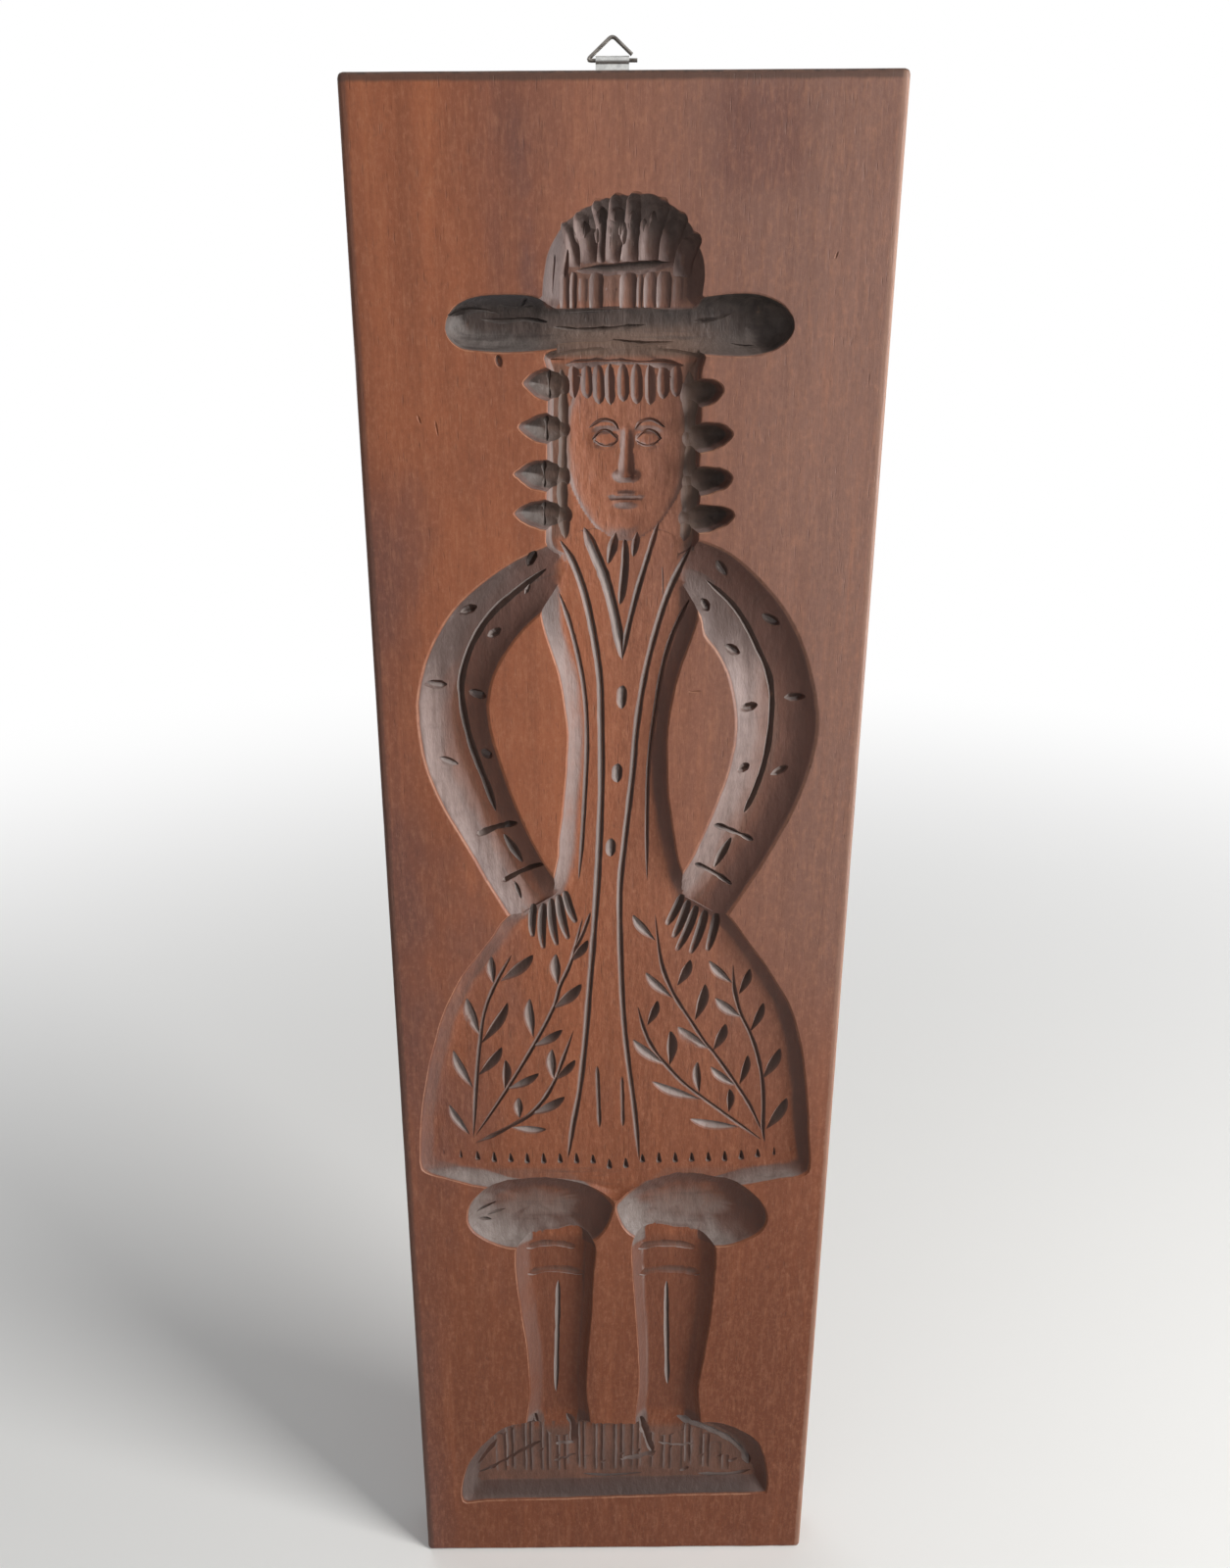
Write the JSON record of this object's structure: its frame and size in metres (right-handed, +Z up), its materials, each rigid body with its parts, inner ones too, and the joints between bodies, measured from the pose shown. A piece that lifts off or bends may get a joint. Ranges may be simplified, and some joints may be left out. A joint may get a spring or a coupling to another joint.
{
  "type": "carved wooden biscuit mould",
  "caption": "Tall wooden board with a standing figure in a broad hat sunk into its face to shape biscuit dough, with a small wire hanging ring on the back.",
  "frame": {"origin": "middle of the bottom edge of the board, in the middle of its thickness", "axes": "+Z up along the board's height, the carved face looks to -Y, +X to the viewer's right"},
  "size_m": [0.172, 0.0261, 0.6144],
  "materials": {
    "stained_wood": "stained brown with a dull wax sheen, darker in the deep cuts",
    "ring_wire": "dull steel wire",
    "strap_sheet": "bright folded sheet",
    "nail_steel": "plain steel nails"
  },
  "bodies": {
    "board": {"mould_board": "stained_wood", "hanger_strap": "strap_sheet", "strap_nails": "nail_steel"},
    "ring": {"hanger_ring": "ring_wire"}
  },
  "joints": [
    {"name": "ring_swing", "type": "hinge", "parent": "board", "child": "ring", "pos_m": [-0.0027, 0.0126, 0.6074], "axis": [1, 0, 0], "range_deg": [-125, 125]}
  ]
}
